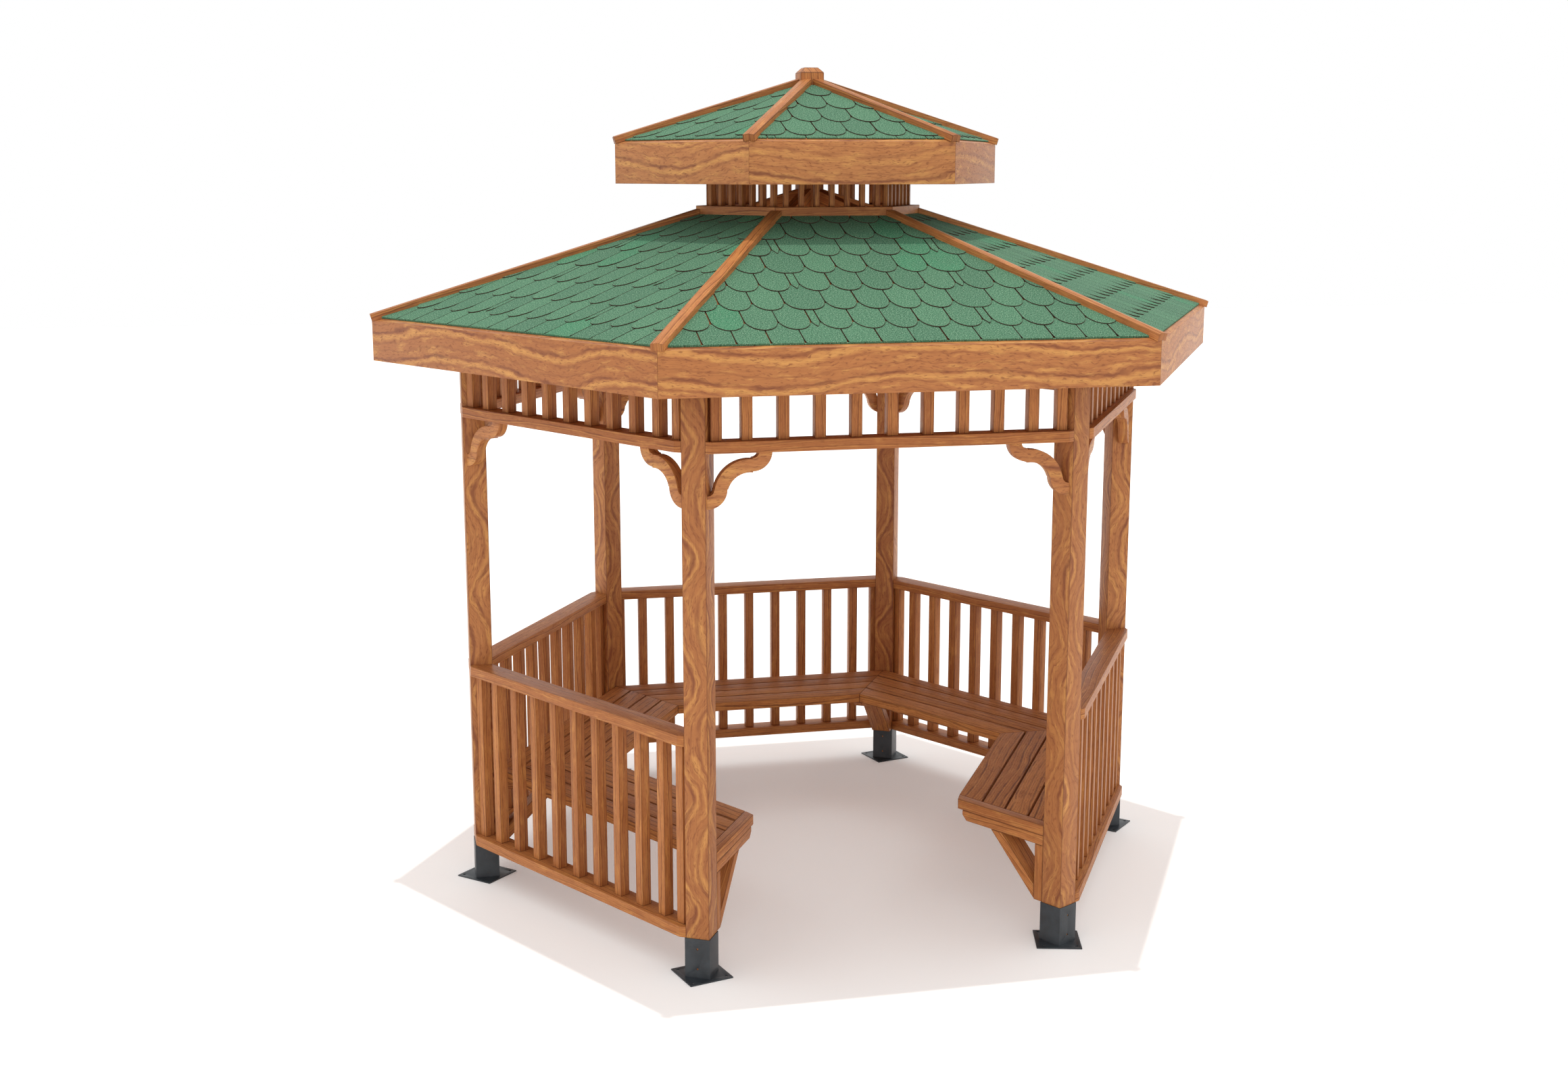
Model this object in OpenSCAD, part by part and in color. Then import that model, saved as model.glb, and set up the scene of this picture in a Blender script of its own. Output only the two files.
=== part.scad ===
// Hexagonal timber gazebo: six posts on steel feet, railings and benches on five
// sides, an open entrance, a scalloped frieze, a lower roof and a slatted cupola.
// Millimetres, +Z up, the ground is z = 0, the entrance faces -Y.

/* [Plan and heights] */
// distance from the middle to each post's centre
plan_r = 1380; // [1100:10:1700]
// height of the lower fascia's bottom edge
eaves_z = 2156; // [1950:5:2400]
// height of the cupola fascia's bottom edge above the collar ring
cupola_lift = 87; // [60:1:200]
// pitch of both roofs
pitch = 19.5; // [15:0.1:28]

/* [Timber] */
// square post side
post_w = 90; // [70:5:120]
// thickness of rails, beams, seat slats and fascia
stock_t = 40; // [25:1:50]
// width of the rails, beams and braces
stock_w = 88; // [60:2:120]
// square baluster side
bal_w = 40; // [25:1:50]
// number of balusters between the two end ones
bal_n = 9; // [5:1:13]
// distance from the end balusters to the corner of the side
bal_side = 58; // [50:1:90]
// how far the end balusters stand from the last of the others
bal_end = 108; // [60:1:130]

/* [Railing and frieze] */
// height of the railing's top face
rail_top = 914; // [800:2:1050]
// height of the bottom rail's underside, where the steel feet end
wood_z = 154; // [80:2:220]
// how far the rails stand outside the post centres
rail_out = 74; // [45:1:100]
// depth of the frieze rail's underside below the lower fascia's bottom edge
frieze_drop = 225; // [150:5:320]
// height of the post tops above the lower fascia's bottom edge
post_rise = 174; // [120:2:200]

/* [Brackets] */
// distance of the main curve's centre from the post and from the rail
br_c = 152; // [120:1:190]
// inner radius of the main curve
br_r = 80; // [60:1:100]
// width of the curved band
br_w = 47; // [30:1:60]
// distance of the upper lobe's centre along the rail
br_lobe = 164; // [120:1:200]
// distance of the lower lobe's centre down the post
br_foot = 129; // [100:1:180]
// distance of the lower lobe's centre from the post
br_foot_x = 4; // [0:1:15]
// outer radius of the end lobes
br_lobe_r = 69; // [50:1:90]

/* [Bench] */
// height of the seat
seat_top = 457; // [400:1:500]
// depth of the seat from the line of the post centres to its front edge
seat_d = 441; // [350:1:550]
// width of the front slat
slat_front_w = 99.5; // [70:0.5:130]
// width of the other slats
slat_w = 92; // [70:1:130]
// gap between slats
slat_gap = 8; // [3:1:15]
// number of slats behind the front one
slat_n = 3; // [2:1:4]
// distance from the seat's front corner to the beam's nose
beam_back = 56; // [20:2:120]
// nose cut of the beams
beam_cut = 21; // [5:1:35]
// distance from the seat's front corner to the brace's top
brace_back = 204; // [100:2:260]

/* [Steel feet] */
// wall of the post sleeve
shoe_t = 3; // [2:0.5:6]
// side of the square base plate
plate_w = 171; // [140:1:220]
// thickness of the base plate
plate_t = 5; // [4:0.5:10]
// diameter of the circle through the four anchor holes
plate_pcd = 188; // [150:1:220]
// radius of an anchor hole
plate_hole_r = 6; // [4:0.5:8]
// radius of a screw hole in the sleeve
screw_r = 4; // [2:0.5:5]
// heights of the two screw holes
screw_z1 = 38; // [25:1:60]
screw_z2 = 115; // [80:1:140]

/* [Roofs] */
// how far the lower fascia's corners stand outside the post centres
overhang = 379; // [200:1:500]
// height of the lower fascia
fascia_h = 157; // [100:1:220]
// distance from the middle to the cupola fascia's corners
top_eaves_r = 792; // [600:1:950]
// thickness of the roof boards with their covering
deck_t = 18; // [12:1:30]
// width of a rafter
rafter_w = 40; // [30:1:60]
// depth of a lower rafter
rafter_d = 90; // [60:1:120]
// depth of a cupola rafter
top_rafter_d = 70; // [50:1:100]
// width of a hip cap
cap_w = 45; // [30:1:120]
// thickness of a hip cap
cap_t = 27; // [12:1:40]
// saw gap at the mitred corners
mitre = 0.5; // [0.2:0.1:1]

/* [Cupola] */
// distance from the middle to the collar ring's corners
ring_r = 468.5; // [380:0.5:600]
// height of the collar ring's face
ring_h = 41; // [10:1:60]
// distance from the middle to the slat corners
lantern_r = 434; // [340:1:560]
// slats on each side
lantern_n = 7; // [3:1:9]
// distance from the end slats to the corner of the side
lantern_end = 34; // [15:1:80]
// width and depth of a slat
lantern_w = 20; // [12:1:30]
// height of the plate ring on the slats
plate_ring_h = 40; // [25:1:60]
// depth of the plate ring
plate_ring_d = 50; // [30:1:60]

/* [Finial] */
// side of the square king post
king_w = 96; // [70:2:120]
// how far the king post stands above the cupola roof's point
king_rise = 56; // [10:1:80]
// chamfer of the finial's top edge
king_cut = 20; // [8:1:24]

/* [Hidden] */
c30 = cos(30);
t30 = tan(30);
far = 2600;
eps = 1;
fit = 0.05;
slope = tan(pitch);
hip_slope = slope * c30;
hip_a = atan(hip_slope);
post_in = plan_r - post_w / 2;
post_out = plan_r + post_w / 2;
rail_a1 = plan_r * c30 + rail_out;
bal_pitch = (plan_r - 2 * (bal_side + bal_end)) / (bal_n - 1);
rail_a0 = rail_a1 - stock_w;
bal_a = (rail_a0 + rail_a1) / 2;
rail_low_top = wood_z + stock_t;
frieze_z0 = eaves_z - frieze_drop;
frieze_z1 = frieze_z0 + stock_t;
post_top = eaves_z + post_rise;
beam_z1 = seat_top - stock_t;
beam_z0 = beam_z1 - stock_t;
seat_front = plan_r * c30 - seat_d;
seat_corner_r = seat_front / c30;
beam_r0 = seat_corner_r + beam_back;
brace_r0 = seat_corner_r + brace_back;
cleat_r0 = post_in - stock_t;
eaves_r = plan_r + overhang;
eaves_a = eaves_r * c30;
top_eaves_a = top_eaves_r * c30;
eaves_top = eaves_z + fascia_h;
ring_a = ring_r * c30;
ring_z0 = eaves_top + (eaves_a - ring_a) * slope;
ring_z1 = ring_z0 + ring_h;
cupola_eaves_z = ring_z1 + cupola_lift;
top_eaves_top = cupola_eaves_z + fascia_h;
lantern_a = lantern_r * c30;
lantern_pitch = (lantern_r - 2 * lantern_end) / (lantern_n - 1);
deck_v = deck_t / cos(pitch);
deck_in = ring_a - 20;
rafter_drop = deck_v + rafter_w / 2 * slope / 2;
plate_z1 = top_eaves_top + (top_eaves_r - lantern_r) * hip_slope - rafter_drop
    - top_rafter_d / cos(hip_a) + 6;
plate_z0 = plate_z1 - plate_ring_h;
plate_a1 = lantern_a + 10;
plate_a0 = plate_a1 - plate_ring_d;
king_top = top_eaves_top + top_eaves_a * slope + king_rise;
king_z0 = ring_z1 - 120;

// side angles, entrance first
side_a = [-90, -30, 30, 90, 150, 210];
// post angles
post_a = [-120, -60, 0, 60, 120, 180];

wood_c = [0.66, 0.38, 0.18];
bench_c = [0.55, 0.33, 0.20];
steel_c = [0.20, 0.23, 0.25];
green_c = [0.26, 0.56, 0.43];

// slice of space between two corners, about +X, cut back square to its edges
module wedge(inset) {
    translate([2 * inset, 0, -eps])
        linear_extrude(height = 2 * far)
            polygon([[0, 0], [far, -far * t30], [far, far * t30]]);
}

// a profile in distance and height, run along one side and mitred at its ends
module strip(profile, inset) {
    intersection() {
        wedge(inset);
        rotate([90, 0, 0])
            linear_extrude(height = 2 * far, center = true)
                polygon(profile);
    }
}

module bar(a0, a1, z0, z1, inset) {
    strip([[a0, z0], [a1, z0], [a1, z1], [a0, z1]], inset);
}

// rails and balusters between two posts, cut to the posts' faces
module panel(z0, z1) {
    intersection() {
        wedge(post_w / 2 + fit);
        cylinder(r = post_out / c30, h = 2 * far, $fn = 6);
        union() {
            bar(rail_a0, rail_a1, z0, z0 + stock_t, 0);
            bar(rail_a0, rail_a1, z1 - stock_t, z1, 0);
            for (i = [0 : bal_n - 1]) baluster((i - (bal_n - 1) / 2) * bal_pitch, z0, z1);
            for (s = [-1, 1]) {
                baluster(s * ((bal_n - 1) / 2 * bal_pitch + bal_end), z0, z1);
            }
        }
    }
}

module baluster(y, z0, z1) {
    translate([bal_a - bal_w / 2, y - bal_w / 2, z0 + stock_t - eps])
        cube([bal_w, bal_w, z1 - z0 - 2 * stock_t + 2 * eps]);
}

module post_box(z0, z1) {
    translate([post_in, -post_w / 2, z0])
        cube([post_w, post_w, z1 - z0]);
}

module post(i) {
    color(wood_c)
        rotate(post_a[i])
            post_box(plate_t, post_top);
}

module foot(i) {
    w = post_w + 2 * shoe_t;
    color(steel_c)
        rotate(post_a[i])
            translate([plan_r, 0, 0])
                difference() {
                    union() {
                        rotate(45)
                            translate([-plate_w / 2, -plate_w / 2, 0])
                                cube([plate_w, plate_w, plate_t]);
                        translate([-w / 2, -w / 2, plate_t - eps])
                            cube([w, w, wood_z - plate_t + eps]);
                    }
                    translate([-post_w / 2, -post_w / 2, plate_t])
                        cube([post_w, post_w, wood_z]);
                    for (k = [0 : 3]) {
                        rotate(90 * k)
                            translate([plate_pcd / 2, 0, -eps])
                                cylinder(r = plate_hole_r, h = plate_t + 2 * eps, $fn = 32);
                    }
                    for (z = [screw_z1, screw_z2]) {
                        translate([-w, 0, z])
                            rotate([0, 90, 0])
                                cylinder(r = screw_r, h = 2 * w, $fn = 24);
                    }
                }
}

module railing(i) {
    color(wood_c)
        rotate(side_a[i])
            panel(wood_z, rail_top);
}

module frieze(i) {
    color(wood_c)
        rotate(side_a[i])
            panel(frieze_z0, post_top);
}

// flat outline of one bracket: x from the post, y from the rail, both faces square
module bracket_shape() {
    intersection() {
        translate([-br_c, -3 * br_c])
            square([4 * br_c, 3 * br_c]);
        union() {
            intersection() {
                translate([br_c, -br_c])
                    difference() {
                        circle(r = br_r + br_w, $fn = 96);
                        circle(r = br_r, $fn = 96);
                    }
                translate([0, -br_foot])
                    square([br_lobe, br_foot]);
            }
            intersection() {
                translate([br_lobe, 0]) lobe();
                translate([br_lobe - eps, -br_c])
                    square([br_c, br_c]);
            }
            intersection() {
                translate([br_foot_x, -br_foot]) lobe();
                translate([0, eps - br_foot - 2 * br_c])
                    square([2 * br_c, 2 * br_c]);
            }
        }
    }
}

module lobe() {
    difference() {
        circle(r = br_lobe_r, $fn = 72);
        circle(r = br_lobe_r - br_w, $fn = 48);
    }
}

module corner_brackets() {
    // the post's face meets the brackets' outer face this far along the side
    face_y = plan_r / 2 - post_w / 2 / c30 + (bal_a + bal_w / 2 - plan_r * c30) * t30;
    color(wood_c)
        for (i = [0 : 5]) rotate(side_a[i])
            for (m = [0, 1]) mirror([0, m, 0])
                intersection() {
                    wedge(post_w / 2);
                    translate([bal_a + bal_w / 2, face_y, frieze_z0])
                        rotate([90, 0, -90])
                            linear_extrude(height = bal_w)
                                bracket_shape();
                }
}

module seat(i) {
    color(bench_c)
        rotate(side_a[i])
            difference() {
                union() {
                    bar(seat_front, seat_front + slat_front_w, beam_z1, seat_top, mitre / 2);
                    for (k = [0 : slat_n - 1]) {
                        a = seat_front + slat_front_w + slat_gap + k * (slat_w + slat_gap);
                        bar(a, a + slat_w, beam_z1, seat_top, mitre / 2);
                    }
                }
                for (s = [-30, 30]) rotate(s) post_box(0, post_top);
            }
}

module seat_end_boards() {
    color(bench_c)
        for (m = [0, 1]) mirror([m, 0, 0]) rotate(post_a[1])
            translate([0, 0, beam_z1])
                linear_extrude(height = stock_t)
                    polygon([[seat_corner_r + 4, 0], [post_in, 0], [post_in, -post_w / 2],
                        [seat_corner_r + post_w / 2 * t30 + 6, -post_w / 2],
                        [seat_corner_r + 6, -10]]);
}

module bench_beams() {
    color(bench_c)
        for (a = post_a) rotate(a)
            rotate([90, 0, 0])
                linear_extrude(height = post_w, center = true)
                    polygon([[beam_r0, beam_z1], [beam_r0, beam_z0 + beam_cut],
                        [beam_r0 + beam_cut, beam_z0], [post_in, beam_z0],
                        [post_in, beam_z1]]);
}

module bench_cleats() {
    color(bench_c)
        for (a = post_a) rotate(a)
            translate([cleat_r0, -post_w / 2, wood_z])
                cube([stock_t, post_w, beam_z0 - wood_z]);
}

module bench_braces() {
    run = cleat_r0 - brace_r0;
    thick = stock_t / cos(45);
    color(bench_c)
        for (a = post_a) rotate(a)
            rotate([90, 0, 0])
                linear_extrude(height = post_w, center = true)
                    polygon([[brace_r0, beam_z0], [brace_r0 + thick, beam_z0],
                        [cleat_r0, beam_z0 - run + thick], [cleat_r0, beam_z0 - run]]);
}

// a hip rafter of one roof, from the king post out to the fascia
module rafter(edge_a, edge_r, edge_z, depth) {
    z1 = edge_z - rafter_drop;
    z2 = z1 + edge_r * hip_slope;
    v = depth / cos(hip_a);
    intersection() {
        rotate([90, 0, 0])
            linear_extrude(height = rafter_w, center = true)
                polygon([[0, z2], [edge_r, z1], [edge_r, z1 - v], [0, z2 - v]]);
        cylinder(r = (edge_a - stock_t) / c30, h = 2 * far, $fn = 6);
    }
}

module lower_rafters() {
    color(wood_c)
        difference() {
            for (a = post_a) rotate(a)
                difference() {
                    rafter(eaves_a, eaves_r, eaves_top, rafter_d);
                    post_box(0, post_top);
                    for (s = [-30, 30]) rotate(s) bar(rail_a0, rail_a1, 0, post_top, 0);
                }
            king_box(king_w);
        }
}

module upper_rafters() {
    color(wood_c)
        difference() {
            for (a = post_a) rotate(a)
                difference() {
                    rafter(top_eaves_a, top_eaves_r, top_eaves_top, top_rafter_d);
                    for (s = [-30, 30]) {
                        rotate(s) bar(plate_a0, plate_a1, plate_z0, plate_z1, 0);
                    }
                }
            king_box(king_w);
        }
}

// one roof's boarding: six panels under a common slope
module deck(edge_a, edge_z, in_a) {
    a1 = edge_a - stock_t;
    z1 = edge_z + stock_t * slope;
    z2 = z1 + (a1 - in_a) * slope;
    color(green_c)
        for (a = side_a) rotate(a)
            strip([[a1, z1], [a1, z1 - deck_v], [in_a, z2 - deck_v], [in_a, z2]],
                mitre / 2);
}

// six fascia boards with their top edges cut to the roof's slope
module fascia(edge_a, edge_z, low_z) {
    color(wood_c)
        for (a = side_a) rotate(a)
            strip([[edge_a, low_z], [edge_a, edge_z],
                [edge_a - stock_t, edge_z + stock_t * slope], [edge_a - stock_t, low_z]],
                mitre / 2);
}

// six folded caps along the hips, ends square to the hip line
module hip_caps(edge_r, edge_z, in_r) {
    drop = cap_w / 2 * slope / 2 * cos(hip_a);
    run = (edge_r - in_r) / cos(hip_a);
    color(wood_c)
        for (a = post_a) rotate(a)
            intersection() {
                translate([edge_r, 0, edge_z + fit])
                    rotate([0, hip_a, 0])
                        rotate([0, -90, 0])
                            linear_extrude(height = run + cap_t)
                                polygon([[0, 0], [-drop, -cap_w / 2], [cap_t - drop, -cap_w / 2],
                                    [cap_t, 0], [cap_t - drop, cap_w / 2], [-drop, cap_w / 2]]);
                translate([in_r, -far, 0])
                    cube([far, 2 * far, 2 * far]);
                wedge(mitre / 2);
            }
}

module lower_deck() {
    deck(eaves_a, eaves_top, deck_in);
}

module upper_deck() {
    difference() {
        deck(top_eaves_a, top_eaves_top, 20);
        king_box(king_w);
    }
}

module lower_fascia() {
    fascia(eaves_a, eaves_top, eaves_z);
}

module upper_fascia() {
    fascia(top_eaves_a, top_eaves_top, cupola_eaves_z);
}

module lower_hip_caps() {
    difference() {
        hip_caps(eaves_r, eaves_top, ring_r - 12);
        cylinder(r = ring_r, h = 2 * far, $fn = 6);
    }
}

module upper_hip_caps() {
    difference() {
        hip_caps(top_eaves_r, top_eaves_top, 20);
        king_box(king_w);
    }
}

module collar_ring() {
    color(wood_c)
        for (a = side_a) rotate(a)
            difference() {
                strip([[ring_a, ring_z0 + fit], [ring_a, ring_z1], [ring_a - 60, ring_z1],
                    [ring_a - 60, ring_z0 - 30], [deck_in - fit, ring_z0 - 30],
                    [deck_in - fit, ring_z0 + fit + (ring_a - deck_in) * slope]], mitre / 2);
                rotate(30) rafter(eaves_a, eaves_r, eaves_top, rafter_d);
                rotate(-30) rafter(eaves_a, eaves_r, eaves_top, rafter_d);
            }
}

module lantern_slats() {
    color(wood_c)
        for (a = side_a) rotate(a)
            for (i = [0 : lantern_n - 1])
                translate([lantern_a - lantern_w,
                    (i - (lantern_n - 1) / 2) * lantern_pitch - lantern_w / 2, ring_z1])
                    cube([lantern_w, lantern_w, plate_z0 - ring_z1]);
}

module lantern_plate() {
    color(wood_c)
        for (a = side_a) rotate(a)
            bar(plate_a0, plate_a1, plate_z0, plate_z1, mitre / 2);
}

// square post up the middle, top edges chamfered
module king_box(w) {
    translate([-w / 2, -w / 2, 0])
        cube([w, w, 2 * far]);
}

module king_post() {
    h = king_w / 2;
    z1 = king_top - king_cut;
    color(wood_c)
        intersection() {
            king_bar(h, z1);
            rotate(90) king_bar(h, z1);
        }
}

module king_bar(h, z1) {
    rotate([90, 0, 0])
        linear_extrude(height = 2 * king_w, center = true)
            polygon([[-h, king_z0], [h, king_z0], [h, z1], [h - king_cut, king_top],
                [king_cut - h, king_top], [-h, z1]]);
}

module post_front_left() post(0);
module post_front_right() post(1);
module post_right() post(2);
module post_back_right() post(3);
module post_back_left() post(4);
module post_left() post(5);
module foot_front_left() foot(0);
module foot_front_right() foot(1);
module foot_right() foot(2);
module foot_back_right() foot(3);
module foot_back_left() foot(4);
module foot_left() foot(5);
module railing_front_right() railing(1);
module railing_back_right() railing(2);
module railing_back() railing(3);
module railing_back_left() railing(4);
module railing_front_left() railing(5);
module frieze_front() frieze(0);
module frieze_front_right() frieze(1);
module frieze_back_right() frieze(2);
module frieze_back() frieze(3);
module frieze_back_left() frieze(4);
module frieze_front_left() frieze(5);
module seat_front_right() seat(1);
module seat_back_right() seat(2);
module seat_back() seat(3);
module seat_back_left() seat(4);
module seat_front_left() seat(5);

post_front_left();
post_front_right();
post_right();
post_back_right();
post_back_left();
post_left();
foot_front_left();
foot_front_right();
foot_right();
foot_back_right();
foot_back_left();
foot_left();
railing_front_right();
railing_back_right();
railing_back();
railing_back_left();
railing_front_left();
frieze_front();
frieze_front_right();
frieze_back_right();
frieze_back();
frieze_back_left();
frieze_front_left();
corner_brackets();
seat_front_right();
seat_back_right();
seat_back();
seat_back_left();
seat_front_left();
seat_end_boards();
bench_beams();
bench_cleats();
bench_braces();
lower_rafters();
lower_deck();
lower_fascia();
lower_hip_caps();
collar_ring();
lantern_slats();
lantern_plate();
king_post();
upper_rafters();
upper_deck();
upper_fascia();
upper_hip_caps();
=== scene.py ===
import bpy
import bmesh
import math
import random
import numpy as np
from mathutils import Matrix, Vector


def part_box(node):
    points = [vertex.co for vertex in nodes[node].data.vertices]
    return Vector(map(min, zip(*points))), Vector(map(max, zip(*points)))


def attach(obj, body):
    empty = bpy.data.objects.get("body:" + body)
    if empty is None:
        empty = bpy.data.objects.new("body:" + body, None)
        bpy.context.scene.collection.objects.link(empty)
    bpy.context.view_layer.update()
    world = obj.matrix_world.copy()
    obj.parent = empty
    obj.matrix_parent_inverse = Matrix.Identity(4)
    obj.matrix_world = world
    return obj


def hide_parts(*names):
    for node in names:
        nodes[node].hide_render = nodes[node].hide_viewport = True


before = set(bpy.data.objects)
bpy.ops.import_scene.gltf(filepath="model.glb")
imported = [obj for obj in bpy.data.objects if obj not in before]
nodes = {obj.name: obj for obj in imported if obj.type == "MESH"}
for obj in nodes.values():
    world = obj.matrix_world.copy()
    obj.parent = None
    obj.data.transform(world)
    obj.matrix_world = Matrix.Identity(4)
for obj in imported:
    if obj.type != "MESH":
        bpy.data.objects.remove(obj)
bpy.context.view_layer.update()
rng = random.Random(41)  # draws for the boards; each shingle has its own
up = Vector((0, 0, 1))
postAngles = [-120, -60, 0, 60, 120, 180]  # degrees seen from above
sideAngles = [-90, -30, 30, 90, 150, 210]  # the entrance is at -90


def low(node):
    return Vector(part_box(node)[0])


def high(node):
    return Vector(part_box(node)[1])


def named(start, without=None):
    return [n for n in sorted(nodes) if n.startswith(start) and not (without and without in n)]


def rad(a):  # outwards at an angle seen from above
    return Vector((math.cos(math.radians(a)), math.sin(math.radians(a)), 0))


def tan(a):  # a quarter turn on from rad
    return Vector((-math.sin(math.radians(a)), math.cos(math.radians(a)), 0))


def nearestAngle(p, angles):
    a = math.degrees(math.atan2(p.y, p.x))
    return min(angles, key=lambda b: abs((a - b + 180) % 360 - 180))


def middle(bm):
    return sum((v.co for v in bm.verts), Vector()) / len(bm.verts)


def outerTop(node):  # height of a fascia's top edge at its outer face
    far = high(node).y
    return max(v.co.z for v in nodes[node].data.vertices if v.co.y > far - 1e-4)


stock = high("bench_beams").z - low("bench_beams").z  # thickness of the sawn timber
roof = {  # apothems and heights of the two roofs, read from the frame
    "eavesA": high("lower_fascia").y,
    "eavesZ": outerTop("lower_fascia"),
    "topA": high("upper_fascia").y,
    "topZ": outerTop("upper_fascia"),
    "ringA": high("collar_ring").y,
}
roof["slope"] = (high("lower_fascia").z - roof["eavesZ"]) / stock
print("layout", {k: round(v, 4) for k, v in roof.items()})


# degrees, metres, and the lens in millimetres
view = {"azimuth": -13.01, "elevation": 11.0, "distance": 7.968, "shiftRight": -0.1028, "lookZ": 1.3638,
        "lens": 43.46, "sensor": 36}


def buildCamera(v):
    az, el = math.radians(v["azimuth"]), math.radians(v["elevation"])
    back = Vector((math.sin(az) * math.cos(el), -math.cos(az) * math.cos(el), math.sin(el)))
    right = Vector((math.cos(az), math.sin(az), 0))
    cam = bpy.data.cameras.new("camera")
    cam.lens = v["lens"]
    cam.sensor_width = v["sensor"]
    ob = bpy.data.objects.new("camera", cam)
    m = Matrix((right, back.cross(right), back)).transposed().to_4x4()
    m.translation = back * v["distance"] + right * v["shiftRight"] + up * v["lookZ"]
    ob.matrix_world = m
    bpy.context.scene.collection.objects.link(ob)
    bpy.context.scene.camera = ob


buildCamera(view)
print("camera placed")


# how the CAD solids are cleaned, cut and given slim edges
meshing = {"weld": 2e-5, "flat": math.radians(1.0), "sharp": math.radians(25), "shade": math.radians(18),
           "edgeSegments": 2, "edgeProfile": 0.6, "cutGap": 0.0005}


def looseParts(bm):
    seen, parts = set(), []
    for v in bm.verts:
        if v.index in seen:
            continue
        stack, part = [v], []
        seen.add(v.index)
        while stack:
            a = stack.pop()
            part.append(a)
            for e in a.link_edges:
                b = e.other_vert(a)
                if b.index not in seen:
                    seen.add(b.index)
                    stack.append(b)
        parts.append(part)
    return parts


def cleanCopy(node):  # the CAD mesh of a node with its flat faces joined up
    bm = bmesh.new()
    bm.from_mesh(nodes[node].data)
    bmesh.ops.remove_doubles(bm, verts=bm.verts, dist=meshing["weld"])
    bmesh.ops.dissolve_limit(bm, angle_limit=meshing["flat"], verts=bm.verts, edges=bm.edges)
    bm.normal_update()
    return bm


def splitParts(bm):  # one bmesh for each loose part
    bm.verts.index_update()
    out = []
    for part in looseParts(bm):
        ids = {v.index for v in part}
        one = bmesh.new()
        newVerts = {v.index: one.verts.new(v.co) for v in part}
        for f in bm.faces:
            if f.verts[0].index in ids:
                one.faces.new([newVerts[v.index] for v in f.verts])
        bmesh.ops.recalc_face_normals(one, faces=one.faces)
        one.normal_update()
        out.append(one)
    return out


def slab(bm, z0, z1):  # what lies between two heights, closed again; None leaves an end as it is
    one = bm.copy()
    for z, n in ((z0, (0, 0, -1)), (z1, (0, 0, 1))):
        if z is None:
            continue
        geom = one.verts[:] + one.edges[:] + one.faces[:]
        cut = bmesh.ops.bisect_plane(one, geom=geom, plane_co=(0, 0, z), plane_no=n, clear_outer=True)
        edges = [e for e in cut["geom_cut"] if isinstance(e, bmesh.types.BMEdge)]
        bmesh.ops.holes_fill(one, edges=edges, sides=0)
    bmesh.ops.dissolve_limit(one, angle_limit=meshing["flat"], verts=one.verts, edges=one.edges)
    return one


def roundEdges(bm, width):  # the new faces are marked as edges, which take painted shade
    mark = bm.faces.layers.int.new("edge")
    edges = [e for e in bm.edges if len(e.link_faces) == 2 and e.calc_face_angle(0) > meshing["sharp"]]
    if edges:
        done = bmesh.ops.bevel(bm, geom=edges, offset=width, offset_type="OFFSET", affect="EDGES",
                               segments=meshing["edgeSegments"], profile=meshing["edgeProfile"],
                               clamp_overlap=True)
        for f in done["faces"]:
            f[mark] = 1
    bm.normal_update()


def setValues(me, name, domain, values):  # a mesh attribute of numbers or of vectors
    isVector = isinstance(values[0], tuple)
    a = me.attributes.new(name, "FLOAT_VECTOR" if isVector else "FLOAT", domain)
    a.data.foreach_set("vector" if isVector else "value", np.array(values, dtype=np.float32).ravel())


class Pile:  # the boards of one piece: each face knows its place along and across the board, and a seed
    startSpan = 40  # metres of figure that the boards are cut from
    seedSpan = 50

    def __init__(self, name):
        self.name = name
        self.verts, self.faces = [], []
        self.grain, self.tone, self.endGrain, self.edge = [], [], [], []

    def add(self, bm, axis, across, ends=True):
        axis = Vector(axis).normalized()
        side = Vector(across).normalized()
        third = axis.cross(side)
        pts = [v.co.copy() for v in bm.verts]
        least = Vector([min(p[i] for p in pts) for i in range(3)])
        most = Vector([max(p[i] for p in pts) for i in range(3)])
        mid = (least + most) / 2
        start, seed = rng.uniform(0, self.startSpan), rng.uniform(0, self.seedSpan)
        base = len(self.verts)
        boardTone = rng.random()
        bm.verts.index_update()
        mark = bm.faces.layers.int.get("edge")
        self.verts += pts
        for f in bm.faces:
            self.faces.append([base + v.index for v in f.verts])
            onSide = abs(f.normal.dot(side)) > abs(f.normal.dot(third))
            way = third if onSide else side
            turn = (f.normal.dot(side) if onSide else f.normal.dot(third)) > 0
            step = (1.3 if onSide else 2.9) + (0.7 if turn else 0)  # each long face has its own figure
            for v in f.verts:
                d = pts[v.index] - mid
                self.grain.append((d.dot(axis) + start + step * 0.31, d.dot(way), seed + step))
            self.tone.append(boardTone)
            self.endGrain.append(1.0 if ends and abs(f.normal.dot(axis)) > 0.85 else 0.0)
            self.edge.append(1.0 if mark and f[mark] else 0.0)
        bm.free()

    def build(self, p):
        me = bpy.data.meshes.new(self.name)
        me.from_pydata([tuple(v) for v in self.verts], [], self.faces)
        setValues(me, "grain", "CORNER", self.grain)
        setValues(me, "tone", "FACE", self.tone)
        setValues(me, "endGrain", "FACE", self.endGrain)
        setValues(me, "edge", "FACE", self.edge)
        me.polygons.foreach_set("use_smooth", [True] * len(me.polygons))
        me.set_sharp_from_angle(angle=meshing["shade"])
        ob = bpy.data.objects.new(self.name, me)
        bpy.context.scene.collection.objects.link(ob)
        me.materials.append(mats[p["look"]])
        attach(ob, "root")
        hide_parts(*p["nodes"])
        return ob


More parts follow.
